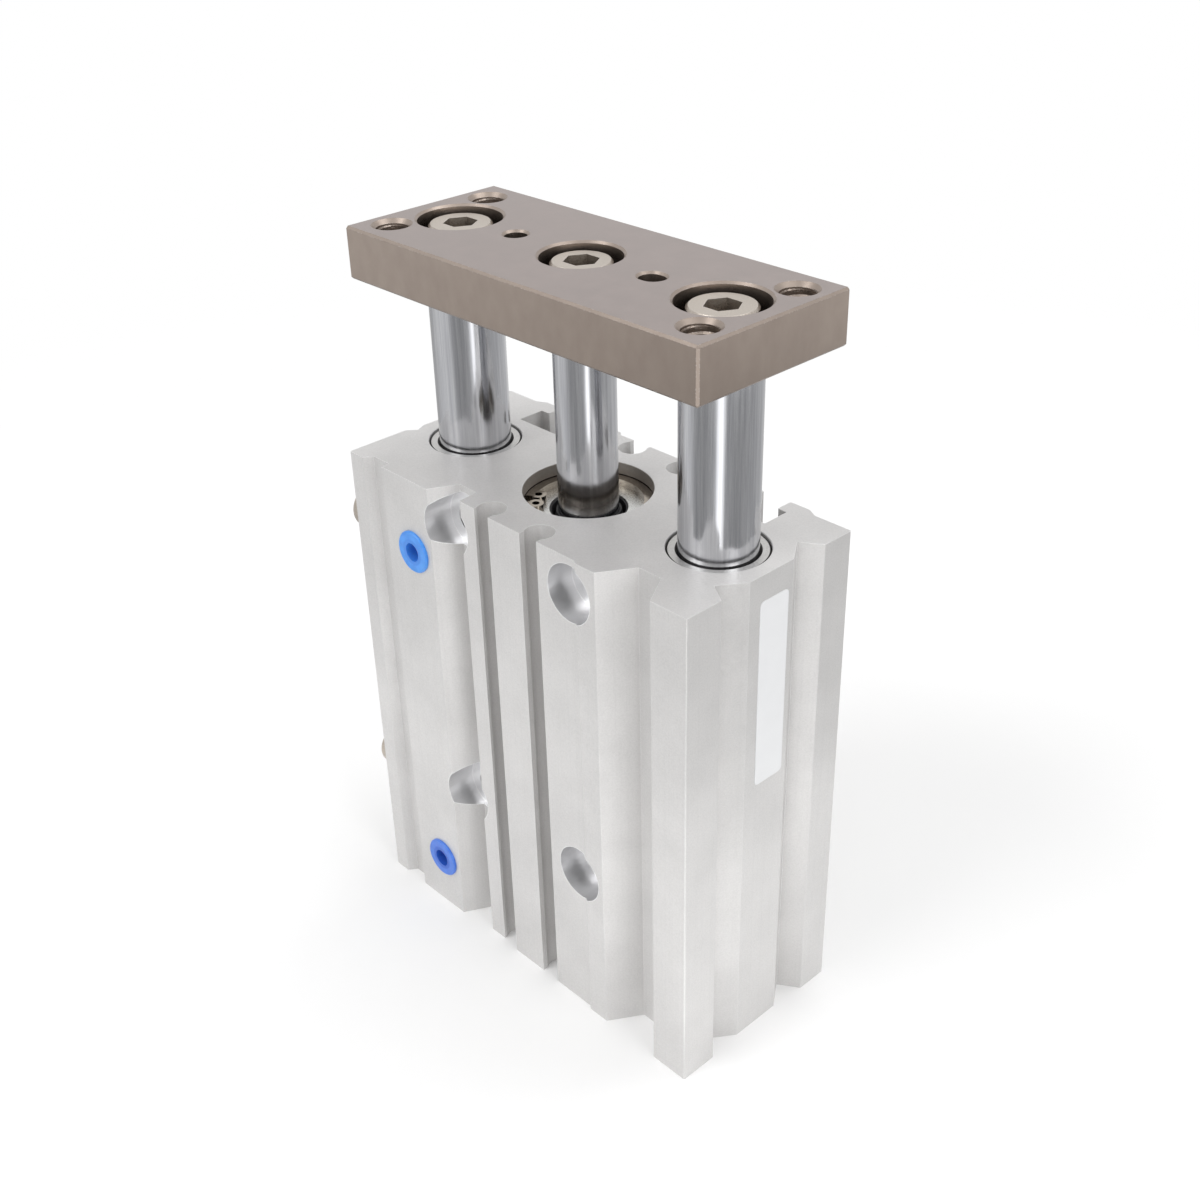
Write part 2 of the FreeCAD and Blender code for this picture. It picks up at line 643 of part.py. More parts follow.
def make_piston():
    outer = "(bore / 2 - piston_gap)"
    land = "((piston_length - magnet - piston_seal) / 3)"
    magnet_top, seal_bottom = f"{land} + magnet", f"2 * {land} + magnet"
    magnet_radius, seal_radius = f"({outer} - magnet_groove)", f"({outer} - piston_seal_groove)"
    hole = "(spigot / 2 + spigot_fit)"
    gasket_floor = "(spigot / 2 + gasket + 2 * gasket_play)"
    middle, half = f"({seal_bottom})", "gasket_groove / 2"
    piston = turned("piston", [
        ("rivet / 2 + spigot_fit", "0"), (f"{outer} - rim_chamfer", "0"), (outer, "rim_chamfer"),
        (outer, land), (magnet_radius, land), (magnet_radius, magnet_top), (outer, magnet_top),
        (outer, seal_bottom), (seal_radius, seal_bottom), (seal_radius, f"{seal_bottom} + piston_seal"),
        (outer, f"{seal_bottom} + piston_seal"), (outer, "piston_length - rim_chamfer"),
        (f"{outer} - rim_chamfer", "piston_length"), (hole, "piston_length"),
        (hole, f"{middle} + {half}"), (gasket_floor, f"{middle} + {half}"),
        (gasket_floor, f"{middle} - {half}"), (hole, f"{middle} - {half}"),
        (hole, "rivet_height"), ("rivet / 2 + spigot_fit", "rivet_height")])
    place(piston, z=PISTON_BOTTOM)
    gasket = o_ring("piston_gasket", "spigot / 2 + gasket / 2 + gasket_play", "gasket")
    place(gasket, z=f"{PISTON_BOTTOM} + {middle}")
    magnet = tube("piston_magnet", f"(2 * {magnet_radius})", f"(2 * ({outer} - magnet_cover))",
                  "magnet", "magnet_chamfer")
    place(magnet, z=f"{PISTON_BOTTOM} + {land}")
    rim = "(bore / 2 - piston_seal_gap)"
    seal = turned("piston_seal", [
        (seal_radius, "0"), (f"{rim} - seal_lip", "0"), (rim, "seal_lip"),
        (rim, "piston_seal - seal_lip"), (f"{rim} - seal_lip", "piston_seal"),
        (seal_radius, "piston_seal")])
    place(seal, z=f"{PISTON_BOTTOM} + {seal_bottom}")
    for label, height in (("lower_bumper", f"{PISTON_BOTTOM} - bumper"), ("upper_bumper", PISTON_TOP)):
        place(tube(label, "bumper_inner", "bumper_outer", "bumper", "bumper_chamfer"), z=height)

    length = f"({PLATE_BOTTOM} - {PISTON_BOTTOM})"
    rod = turned("piston_rod", [
        ("0", "0"), ("rivet / 2", "0"), ("rivet / 2", "rivet_height"), ("spigot / 2", "rivet_height"),
        ("spigot / 2", "piston_length"), ("rod / 2", "piston_length"),
        *rod_end("rod", length)])
    place(rod, z=PISTON_BOTTOM)


# ---- guide rods and slide bearings ----

def make_guides():
    length = f"({PLATE_BOTTOM} - {GUIDE_BOTTOM})"
    top = f"{BODY_HEIGHT} - bush_recess - upper_bush"
    for side, sign in (("left", "-"), ("right", "")):
        x = f"{sign}{GUIDE_PLACE}"
        rod = turned(f"guide_rod_{side}", [
            ("0", "0"), ("guide_rod / 2 - rod_chamfer", "0"), ("guide_rod / 2", "rod_chamfer"),
            *rod_end("guide_rod", length)])
        place(rod, x=x, z=GUIDE_BOTTOM)
        hole = "(guide_rod + 2 * guide_fit)"
        upper = tube(f"upper_bearing_{side}", hole, "bush_outer", "upper_bush", "bush_chamfer")
        place(upper, x=x, z=top)
        lower = tube(f"lower_bearing_{side}", hole, "bush_outer", "lower_bush", "bush_chamfer")
        place(lower, x=x, z=BEARING_SEAT)


# ---- plate and its bolts ----

def plate_bore(body, name, x, counterbore):
    """Hole for a bolt's shank with a counterbore for its head and a chamfered mouth."""
    floor = "plate_thick - bolt_seat"
    wall = f"{x} + {counterbore} / 2"
    return stepped_bore(body, name, x, "plate_thick", [
        (x, "0"), (f"{x} + shank_hole / 2", "0"), (f"{x} + shank_hole / 2", floor), (wall, floor),
        (wall, "plate_thick - seat_chamfer"), (f"{wall} + seat_chamfer", "plate_thick"),
        (x, "plate_thick")])


def rim_edges(feature, height, diameter):
    """Names of the arcs of one diameter that lie at one height, for a chamfer."""
    names = []
    for index, edge in enumerate(feature.Shape.Edges, 1):
        is_arc = isinstance(edge.Curve, Part.Circle)
        if is_arc and math.isclose(2 * edge.Curve.Radius, diameter) and math.isclose(
                edge.CenterOfMass.z, height, abs_tol=1e-6):
            names.append(f"Edge{index}")
    return names


def slot(sketch, x, length, width):
    """Round-ended slot along the sketch's X axis, centred at x, with its length over the ends."""
    def arc(side):
        centre = FreeCAD.Vector(side, 0, 0)
        whole = Part.Circle(centre, FreeCAD.Vector(0, 0, 1), 1)
        start = -side * math.pi / 2
        return sketch.addGeometry(Part.ArcOfCircle(whole, start, start + math.pi), False)

    def line(side):
        ends = FreeCAD.Vector(side, side, 0), FreeCAD.Vector(-side, side, 0)
        return sketch.addGeometry(Part.LineSegment(*ends), False)

    right, left, top, bottom = arc(1), arc(-1), line(1), line(-1)
    east, west = f"{x} + ({length} - {width}) / 2", f"{x} - ({length} - {width}) / 2"
    for shape, end, along, across in ((top, 1, east, ""), (top, 2, west, ""),
                                      (bottom, 1, west, "-"), (bottom, 2, east, "-")):
        fix_point(sketch, shape, end, along, f"{across}{width} / 2")
    for before, after in ((right, top), (top, left), (left, bottom), (bottom, right)):
        sketch.addConstraint(Sketcher.Constraint("Coincident", before, 2, after, 1))
    for side, along in ((right, east), (left, west)):
        start = sketch.getPoint(side, 3).x
        index = sketch.addConstraint(Sketcher.Constraint("DistanceX", -1, 1, side, 3, start))
        bind(sketch, f"Constraints[{index}]", along)


def make_plate():
    body = new_body("plate")
    blank = rectangle(sketch_on(body, "Blank"), f"-{PLATE_END}", "-plate_depth / 2",
                      PLATE_END, "plate_depth / 2")
    slab = pad(body, blank, "plate_thick")
    doc.recompute()
    edges = body.newObject("PartDesign::Chamfer", "PlateEdges")
    edges.Base = (slab, [f"Edge{index}" for index in range(1, len(slab.Shape.Edges) + 1)])
    bind(edges, "Size", "plate_chamfer")
    plate_bore(body, "RodBolt", "0", "rod_counterbore")
    mirror(body, plate_bore(body, "GuideBolt", GUIDE_PLACE, "guide_counterbore"), "YZ_Plane")
    corners = sketch_on(body, "CornerHoles", offset="plate_thick")
    for side in ("-", ""):
        for face in ("-", ""):
            circle(corners, f"{side}{CORNER_PLACE}", f"{face}plate_pitch_y / 2", "plate_hole")
    holes = pocket(body, corners)
    doc.recompute()
    mouths = body.newObject("PartDesign::Chamfer", "CornerMouths")
    size = sheet.get("plate_hole")
    mouths.Base = (holes, rim_edges(holes, 0, size) + rim_edges(holes, sheet.get("plate_thick"), size))
    bind(mouths, "Size", "plate_hole_chamfer")
    dowels = circle(sketch_on(body, "Dowel", offset="plate_thick"), f"-{DOWEL_PLACE}", "0", "dowel")
    slot(dowels, DOWEL_PLACE, "dowel_slot", "dowel")
    pins = pocket(body, dowels, "dowel_depth")
    doc.recompute()
    lead = body.newObject("PartDesign::Chamfer", "DowelMouths")
    lead.Base = (pins, rim_edges(pins, sheet.get("plate_thick"), sheet.get("dowel")))
    bind(lead, "Size", "dowel_chamfer")
    place(body, z=PLATE_BOTTOM)


def make_bolt(label, head, x):
    """Low-headed socket screw whose thread, drawn at its core, fills the rod's tapped hole."""
    web = "(plate_thick - bolt_seat)"
    under = f"(bolt_reach + {web})"
    top = f"({under} + bolt_head_height)"
    body = turned(label, [
        ("0", "0"), ("thread_core / 2 - bolt_chamfer", "0"), ("thread_core / 2", "bolt_chamfer"),
        ("thread_core / 2", "bolt_reach"), ("bolt_shank / 2", "bolt_reach"), ("bolt_shank / 2", under),
        (f"{head} / 2", under), (f"{head} / 2", f"{top} - bolt_chamfer"),
        (f"{head} / 2 - bolt_chamfer", top), ("0", top)])
    socket = hexagon(sketch_on(body, f"{label}_socket", offset=top), "bolt_socket")
    pocket(body, socket, "bolt_socket_depth")
    place(body, x=x, z=f"{PLATE_BOTTOM} - bolt_reach")


# ---- plugs ----

def make_plugs():
    to_front = FreeCAD.Rotation(FreeCAD.Vector(1, 0, 0), 90)
    to_left = FreeCAD.Rotation(FreeCAD.Vector(0, 1, 0), -90)
    stem = "(port_hole / 2 - stem_fit)"
    for level, height in (("lower", "port_base"), ("upper", UPPER_PORT)):
        top = "(port_plug_stem + port_flange_thick)"
        plug = turned(f"{level}_port_plug", [
            ("0", "0"), (f"{stem} - plug_chamfer", "0"), (stem, "plug_chamfer"),
            (stem, "port_plug_stem"), ("port_flange / 2", "port_plug_stem"),
            ("port_flange / 2", f"{top} - port_flange_chamfer"),
            ("port_flange / 2 - port_flange_chamfer", top), ("port_plug_cup / 2", top),
            ("port_plug_cup / 2", f"{top} - port_plug_cup_depth"),
            ("0", f"{top} - port_plug_cup_depth")])
        place(plug, x="-port_place", y=f"-{HALF_DEPTH} + port_plug_stem", z=height, turn=to_front)
    for level, height in (("lower", "side_port_base"), ("upper", UPPER_PORT)):
        under = "(side_stem + side_gasket)"
        top = f"({under} + side_head_thick)"
        plug = turned(f"{level}_side_plug", [
            ("0", "0"), (f"{stem} - plug_chamfer", "0"), (stem, "plug_chamfer"), (stem, under),
            ("side_head / 2", under), ("side_head / 2", f"{top} - side_head_chamfer"),
            ("side_head / 2 - side_head_chamfer", top), ("0", top)])
        socket = hexagon(sketch_on(plug, f"{level}_socket", offset=top), "side_socket")
        pocket(plug, socket, "side_socket_depth")
        place(plug, x=f"-{HALF_WIDTH} + side_stem", y=f"-{SIDE_PORT}", z=height, turn=to_left)
        gasket = tube(f"{level}_side_gasket", "port_hole", "(side_head - 2 * stem_fit)",
                      "side_gasket", "side_gasket_chamfer")
        place(gasket, x=f"-{HALF_WIDTH}", y=f"-{SIDE_PORT}", z=height, turn=to_left)
    ball = doc.addObject("Part::Sphere", "passage_ball")
    ball.Label = "passage_ball"
    bind(ball, "Radius", "ball / 2")
    place(ball, "-port_place", f"-{SIDE_PORT}", "ball / 2 + ball_recess")


# ---- build, check and write ----

def check(parts):
    """Stop if an object failed, a cut removed nothing, or a sub-part is not one valid solid."""
    for item in doc.Objects:
        if "Invalid" in item.State or "Error" in item.State:
            raise RuntimeError(f"{item.Label} failed to compute")
        base = getattr(item, "BaseFeature", None)
        if item.TypeId in ("PartDesign::Pocket", "PartDesign::Groove") and base is not None:
            if item.Shape.Volume > base.Shape.Volume - 1e-3:
                raise RuntimeError(f"{item.Label} cuts nothing")
    for part in parts:
        if part.Shape.isNull() or not part.Shape.isValid() or len(part.Shape.Solids) != 1:
            raise RuntimeError(f"{part.Label} is not one valid solid")


make_body()
make_covers()
make_piston()
make_guides()
make_plate()
make_bolt("plate_bolt", "rod_bolt_head", "0")
make_bolt("guide_bolt_left", "guide_bolt_head", f"-{GUIDE_PLACE}")
make_bolt("guide_bolt_right", "guide_bolt_head", GUIDE_PLACE)
make_plugs()
doc.recompute()

parts = [item for item in doc.Objects if item.TypeId in ("PartDesign::Body", "Part::Sphere")]
check(parts)
os.makedirs("parts", exist_ok=True)
for part in parts:
    part.Shape.exportStep(f"parts/{part.Label}.step")
print(f"{len(parts)} parts written")
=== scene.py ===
import json
import math

import bmesh
import bpy
from mathutils import Matrix, Vector


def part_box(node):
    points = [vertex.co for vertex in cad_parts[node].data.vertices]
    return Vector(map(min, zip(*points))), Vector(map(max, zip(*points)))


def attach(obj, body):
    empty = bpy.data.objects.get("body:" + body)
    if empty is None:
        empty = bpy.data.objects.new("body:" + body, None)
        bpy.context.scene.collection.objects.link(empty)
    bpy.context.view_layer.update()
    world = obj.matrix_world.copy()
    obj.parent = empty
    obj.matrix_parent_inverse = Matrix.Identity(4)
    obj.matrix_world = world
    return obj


# Guided pneumatic cylinder, in metres, in the CAD frame: +Z along the stroke, the ports and
# counterbores face -Y, the label's end faces +X.

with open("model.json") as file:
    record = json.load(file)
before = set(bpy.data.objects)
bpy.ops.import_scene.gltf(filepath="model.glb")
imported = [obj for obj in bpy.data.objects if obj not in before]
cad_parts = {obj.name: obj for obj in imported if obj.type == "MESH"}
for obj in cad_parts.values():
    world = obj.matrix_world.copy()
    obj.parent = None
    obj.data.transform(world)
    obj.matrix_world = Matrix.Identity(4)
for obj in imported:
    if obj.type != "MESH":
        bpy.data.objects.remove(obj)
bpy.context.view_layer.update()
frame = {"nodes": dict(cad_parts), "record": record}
nodes = frame["nodes"]

MM = 0.001

# Places and sizes on the object, in millimetres.
PORT_PLACE = 19.0           # front ports, left of the middle
UPPER_PORT = 62.2           # their heights
LOWER_PORT = 8.8
BOLT_PLACE = 12.0           # bolt holes through the body's depth, on both sides of the middle
UPPER_BOLTS = 68.0          # their heights
LOWER_BOLTS = 24.0
BOLT_HOLE_RADIUS = 2.15
COUNTERBORE_RADIUS = 4.0
COVER_SEAT_RADIUS = 8.6     # wide end of the cylinder bore, round its cover
PLUG_HUB_RADIUS = 1.9
BASE_HOLES = (28.0, 11.0)   # holes in the body's lower end face, from its middle
PLATE_HOLES = (27.0, 8.0)   # the plate's corner holes, from its middle
THREAD_CREST = 1.9          # innermost radius of an M5 thread's ridge
THREAD_ROOT = 2.19
THREAD_PITCH = 0.8


# ---- node materials ----

class Nodes:
    """Small helper that builds a material's node tree."""

    def __init__(self, name):
        self.material = bpy.data.materials.new(name)
        self.material.use_nodes = True
        self.tree = self.material.node_tree
        self.shader = self.tree.nodes["Principled BSDF"]
        self.coordinates = self.tree.nodes.new("ShaderNodeTexCoord").outputs["Object"]

    def add(self, kind, values=None, **settings):
        node = self.tree.nodes.new(kind)
        for name, value in settings.items():
            setattr(node, name, value)
        for name, value in (values or {}).items():
            self.feed(node.inputs[name], value)
        return node

    def feed(self, socket, value):
        if isinstance(value, bpy.types.NodeSocket):
            self.tree.links.new(value, socket)
        elif isinstance(value, tuple) and len(value) == 3 and socket.type == "RGBA":
            socket.default_value = (*value, 1.0)
        else:
            socket.default_value = value

    def surface(self, **values):
        """Sets the surface shader's inputs."""
        for name, value in values.items():
            self.feed(self.shader.inputs[name.replace("_", " ")], value)
        return self.material

    def show(self, shader):
        """Shows another shader in place of the surface shader."""
        self.feed(self.tree.nodes["Material Output"].inputs["Surface"], shader)
        return self.material

    def glow(self, colour, strength):
        lit = self.add("ShaderNodeEmission", {"Color": colour, "Strength": strength})
        return self.show(lit.outputs["Emission"])

    def stretched(self, x=1.0, y=1.0, z=1.0):
        """Object coordinates in millimetres, scaled along each axis."""
        scale = (x / MM, y / MM, z / MM)
        mapping = self.add("ShaderNodeMapping", {"Vector": self.coordinates, "Scale": scale})
        return mapping.outputs["Vector"]

    def noise(self, per_mm, vector=None, detail=2.0, roughness=0.5):
        vector = vector or self.stretched()
        node = self.add("ShaderNodeTexNoise", {"Vector": vector, "Scale": per_mm,
                                               "Detail": detail, "Roughness": roughness})
        return node.outputs["Fac"]

    def cells(self, per_mm):
        """A random value for each of many small cells."""
        node = self.add("ShaderNodeTexVoronoi", {"Vector": self.stretched(), "Scale": per_mm})
        split = self.add("ShaderNodeSeparateColor", {"Color": node.outputs["Color"]})
        return split.outputs["Red"]

    def span(self, value, low, high, to_low=0.0, to_high=1.0):
        """Maps low...high to to_low...to_high and stops at both ends."""
        node = self.add("ShaderNodeMapRange", {"Value": value, "From Min": low, "From Max": high,
                                               "To Min": to_low, "To Max": to_high})
        return node.outputs["Result"]

    def math(self, operation, first, second=0.0):
        node = self.add("ShaderNodeMath", operation=operation)
        self.feed(node.inputs[0], first)
        self.feed(node.inputs[1], second)
        return node.outputs["Value"]

    def plus(self, first, second):
        return self.math("ADD", first, second)

    def minus(self, first, second):
        return self.math("SUBTRACT", first, second)

    def times(self, first, second):
        return self.math("MULTIPLY", first, second)

    def magnitude(self, value):
        return self.math("ABSOLUTE", value)

    def mix(self, factor, first, second):
        """Mixes two colours."""
        node = self.add("ShaderNodeMix", data_type="RGBA")
        self.feed(node.inputs["Factor"], factor)
        self.feed(node.inputs["A"], first)
        self.feed(node.inputs["B"], second)
        return node.outputs["Result"]

    def blend(self, factor, first, second):
        """Mixes two numbers."""
        node = self.add("ShaderNodeMix")
        self.feed(node.inputs["Factor"], factor)
        self.feed(node.inputs["A"], first)
        self.feed(node.inputs["B"], second)
        return node.outputs["Result"]

    def bump(self, height, depth_mm, strength):
        values = {"Height": height, "Distance": depth_mm * MM, "Strength": strength}
        return self.add("ShaderNodeBump", values).outputs["Normal"]

    def edges(self, radius_mm):
        """1 on sharp edges, fading to 0 within the radius."""
        bevel = self.add("ShaderNodeBevel", {"Radius": radius_mm * MM}, samples=6)
        flat = self.add("ShaderNodeNewGeometry").outputs["True Normal"]
        turn = self.add("ShaderNodeVectorMath", {0: bevel.outputs["Normal"], 1: flat},
                        operation="DOT_PRODUCT")
        return self.span(turn.outputs["Value"], 0.999, 0.9)

    def shade_mask(self, reach_mm):
        """Mask for painted shade, from ambient occlusion: 1 deep in holes and gaps, 0 on open
        faces.
        """
        node = self.add("ShaderNodeAmbientOcclusion", {"Distance": reach_mm * MM}, samples=6)
        return self.span(node.outputs["AO"], 0.75, 0.25)

    def upward(self):
        """1 on faces square to Z, 0 on side walls."""
        normal = self.add("ShaderNodeNewGeometry").outputs["True Normal"]
        return self.magnitude(self.add("ShaderNodeSeparateXYZ", {"Vector": normal}).outputs["Z"])

    def axis(self, name):
        """One of the object coordinates, in millimetres."""
        place = self.add("ShaderNodeSeparateXYZ", {"Vector": self.coordinates})
        return self.math("DIVIDE", place.outputs[name], MM)

    def distance(self, across, along):
        squares = self.plus(self.math("POWER", across, 2.0), self.math("POWER", along, 2.0))
        return self.math("POWER", squares, 0.5)

    def from_heights(self, upper, lower):
        """Height above the nearest of two heights, counted outwards from between them."""
        return self.minus(self.magnitude(self.minus(self.axis("Z"), (upper + lower) / 2)),
                          (upper - lower) / 2)

    def from_bolt_hole(self):
        """Distance from the nearest axis of the four holes through the body's depth."""
        across = self.minus(self.magnitude(self.axis("X")), BOLT_PLACE)
        return self.distance(across, self.from_heights(UPPER_BOLTS, LOWER_BOLTS))


def anodised_aluminium():
    """Pale satin extrusion with blasted grain, faint die lines along Z and bare machined holes;
    lighter edges that are part bare metal, part painted highlight, a painted highlight on the
    counterbore rims and painted shade on the cover seat's wall.
    """
    mat = Nodes("anodised_aluminium")
    grain = mat.noise(4.5, detail=3.0, roughness=0.65)
    flakes = mat.cells(7.0)
    die_lines = mat.noise(1.0, mat.stretched(3.0, 3.0, 0.015), detail=3.0)
    clouds = mat.noise(0.12, detail=3.0)
    side = mat.span(mat.upward(), 0.3, 0.7, 1.0, 0.0)
    tone = mat.plus(mat.times(grain, 0.5), mat.times(clouds, 0.5))
    colour = mat.mix(mat.span(tone, 0.35, 0.65), (0.605, 0.597, 0.59), (0.69, 0.68, 0.672))
    lines = mat.times(side, mat.span(die_lines, 0.5, 0.7, 0.0, 0.15))
    colour = mat.mix(lines, colour, (0.55, 0.545, 0.54))
    # Lighter edges: part bare metal, part a painted highlight where rounded edges would catch the
    # light.
    colour = mat.mix(mat.times(mat.edges(0.16), 0.5), colour, (0.92, 0.92, 0.92))

    from_hole = mat.from_bolt_hole()
    front = mat.span(mat.axis("Y"), -5.0, -6.0)
    counterbore = mat.times(front, mat.span(from_hole, COUNTERBORE_RADIUS + 0.08,
                                            COUNTERBORE_RADIUS - 0.02))
    bare = mat.math("MAXIMUM", counterbore, mat.span(from_hole, BOLT_HOLE_RADIUS + 0.11,
                                                     BOLT_HOLE_RADIUS + 0.07))
    colour = mat.mix(bare, colour, (0.8, 0.8, 0.81))
    # Painted highlight: a near-white ring along the counterbore rims, where their edges catch the
    # light.
    near_mouth = mat.times(front, mat.span(from_hole, COUNTERBORE_RADIUS + 0.4,
                                           COUNTERBORE_RADIUS + 0.2))
    rim = mat.times(near_mouth, mat.edges(0.25))
    colour = mat.mix(mat.times(rim, 0.8), colour, (0.97, 0.97, 0.97))
    # Painted shade: everything inside the cover seat's radius, the bore and seat wall, coloured
    # dark grey-brown.
    from_middle = mat.distance(mat.axis("X"), mat.axis("Y"))
    shaded_seat_wall = mat.span(from_middle, COVER_SEAT_RADIUS + 0.06, COVER_SEAT_RADIUS + 0.02)
    colour = mat.mix(shaded_seat_wall, colour, (0.3, 0.275, 0.25))

    roughness = mat.blend(bare, mat.span(flakes, 0.0, 1.0, 0.3, 0.6), 0.28)
    metallic = mat.blend(bare, mat.span(side, 0.0, 1.0, 0.3, 0.5), 0.85)
    height = mat.plus(grain, mat.times(flakes, 0.35))
    height = mat.plus(height, mat.times(mat.times(die_lines, side), 0.5))
    return mat.surface(Base_Color=colour, Metallic=metallic, Roughness=roughness,
                       Normal=mat.bump(height, 0.016, 0.5))


def machined_aluminium():
    """Turned covers and piston: brighter, with a fine grain."""
    mat = Nodes("machined_aluminium")
    grain = mat.noise(6.0)
    colour = mat.mix(mat.span(grain, 0.35, 0.65), (0.6, 0.6, 0.585), (0.72, 0.72, 0.7))
    return mat.surface(Base_Color=colour, Metallic=1.0,
                       Roughness=mat.span(grain, 0.3, 0.7, 0.22, 0.38),
                       Normal=mat.bump(grain, 0.006, 0.5))


def nickel_plate():
    """Plated tooling plate: warm taupe satin; painted shade darkens its edges and holes, and light
    specks on the edges are part wear, part painted highlight.
    """
    mat = Nodes("nickel_plate")
    mottle = mat.noise(0.35, detail=4.0, roughness=0.6)
    grain = mat.noise(7.0, detail=3.0, roughness=0.7)
    smears = mat.noise(0.5, mat.stretched(1.0, 1.0, 0.6), detail=4.0)
    top = mat.span(mat.upward(), 0.8, 0.95)
    tone = mat.plus(mat.times(mottle, 0.6), mat.times(grain, 0.4))
    side_colour = mat.mix(mat.span(smears, 0.3, 0.7), (0.3, 0.248, 0.215), (0.33, 0.276, 0.238))
    top_colour = mat.mix(mat.span(tone, 0.35, 0.65), (0.3, 0.257, 0.243), (0.35, 0.302, 0.287))
    colour = mat.mix(top, side_colour, top_colour)
    cavity_shade = mat.shade_mask(3.0)
    edge = mat.edges(0.3)
    wear_and_highlight = mat.times(edge, mat.span(grain, 0.52, 0.62))
    # Painted shade: the chamfered edges darkened.
    colour = mat.mix(mat.times(edge, 0.75), colour, (0.23, 0.19, 0.165))
    # Light specks on the edges: part wear, part painted highlight.
    colour = mat.mix(wear_and_highlight, colour, (0.52, 0.47, 0.43))
    # Painted shade: holes and gaps darkened from ambient occlusion.
    colour = mat.mix(mat.times(cavity_shade, 0.7), colour, (0.09, 0.065, 0.05))
    roughness = mat.minus(mat.span(tone, 0.3, 0.7, 0.32, 0.44), mat.times(cavity_shade, 0.18))
    return mat.surface(Base_Color=colour, Metallic=0.95, Roughness=roughness,
                       Normal=mat.bump(grain, 0.01, 0.35))


def hard_chrome():
    """Ground and chromed rod: near mirror with very fine rings and a few lengthwise marks."""
    mat = Nodes("hard_chrome")
    rings = mat.noise(1.0, mat.stretched(0.4, 0.4, 14.0))
    wipes = mat.noise(1.0, mat.stretched(2.2, 2.2, 0.05), detail=4.0, roughness=0.7)
    colour = mat.mix(mat.span(wipes, 0.35, 0.7), (0.47, 0.475, 0.5), (0.64, 0.645, 0.665))
    return mat.surface(Base_Color=colour, Metallic=1.0,
                       Roughness=mat.span(wipes, 0.3, 0.7, 0.12, 0.2),
                       Normal=mat.bump(rings, 0.002, 0.3))


def matte_nickel():
    """Screw heads and screw plugs: pale, slightly warm, with lighter edges that are part rubbed
    metal, part painted highlight, and painted shade in their sockets.
    """
    mat = Nodes("matte_nickel")
    grain = mat.noise(6.0, detail=3.0)
    colour = mat.mix(mat.span(grain, 0.35, 0.65), (0.44, 0.39, 0.34), (0.54, 0.49, 0.435))
    # Lighter edges: part rubbed metal, part painted highlight.
    colour = mat.mix(mat.times(mat.edges(0.15), 0.5), colour, (0.8, 0.76, 0.71))
    # Painted shade: hex sockets and other hollows darkened from ambient occlusion.
    cavity_shade = mat.shade_mask(2.5)
    colour = mat.mix(mat.times(cavity_shade, 0.8), colour, (0.07, 0.05, 0.04))
    roughness = mat.blend(cavity_shade, mat.span(grain, 0.3, 0.7, 0.28, 0.42), 0.15)
    return mat.surface(Base_Color=colour, Metallic=0.95, Roughness=roughness,
                       Normal=mat.bump(grain, 0.008, 0.4))


def bright_nickel():
    """Stamped retaining rings and the pressed ball."""
    mat = Nodes("bright_nickel")
    grain = mat.noise(3.0, detail=3.0)
    colour = mat.mix(mat.span(grain, 0.3, 0.7), (0.31, 0.27, 0.225), (0.42, 0.375, 0.32))
    # Painted shade: hollows and the ears' holes darkened from ambient occlusion.
    colour = mat.mix(mat.times(mat.shade_mask(1.5), 0.7), colour, (0.08, 0.06, 0.05))
    return mat.surface(Base_Color=colour, Metallic=1.0,
                       Roughness=mat.span(grain, 0.3, 0.7, 0.12, 0.26),
                       Normal=mat.bump(grain, 0.008, 0.3))


def bearing_bronze():
    """Slide bearings: greyish sintered bronze, their chamfers and walls painted near black as
    shade.
    """
    mat = Nodes("bearing_bronze")
    pores = mat.noise(5.0, detail=4.0, roughness=0.7)
    colour = mat.mix(mat.span(pores, 0.35, 0.6), (0.46, 0.45, 0.44), (0.6, 0.595, 0.58))
    # Painted shade: every face that is not facing up, the chamfers and walls, coloured near black.
    shaded_walls = mat.span(mat.upward(), 0.97, 0.85)
    colour = mat.mix(shaded_walls, colour, (0.025, 0.022, 0.02))
    return mat.surface(Base_Color=colour, Metallic=mat.span(shaded_walls, 0.0, 1.0, 0.9, 0.3),
                       Roughness=mat.span(pores, 0.3, 0.7, 0.28, 0.45),
                       Normal=mat.bump(pores, 0.01, 0.4))


def dull(name, dark, light):
    """Rubber and other dull pieces."""
    mat = Nodes(name)
    grain = mat.noise(3.0, detail=3.0)
    return mat.surface(Base_Color=mat.mix(mat.span(grain, 0.3, 0.7), dark, light),
                       Roughness=mat.span(grain, 0.3, 0.7, 0.45, 0.65),
                       Normal=mat.bump(grain, 0.01, 0.3))


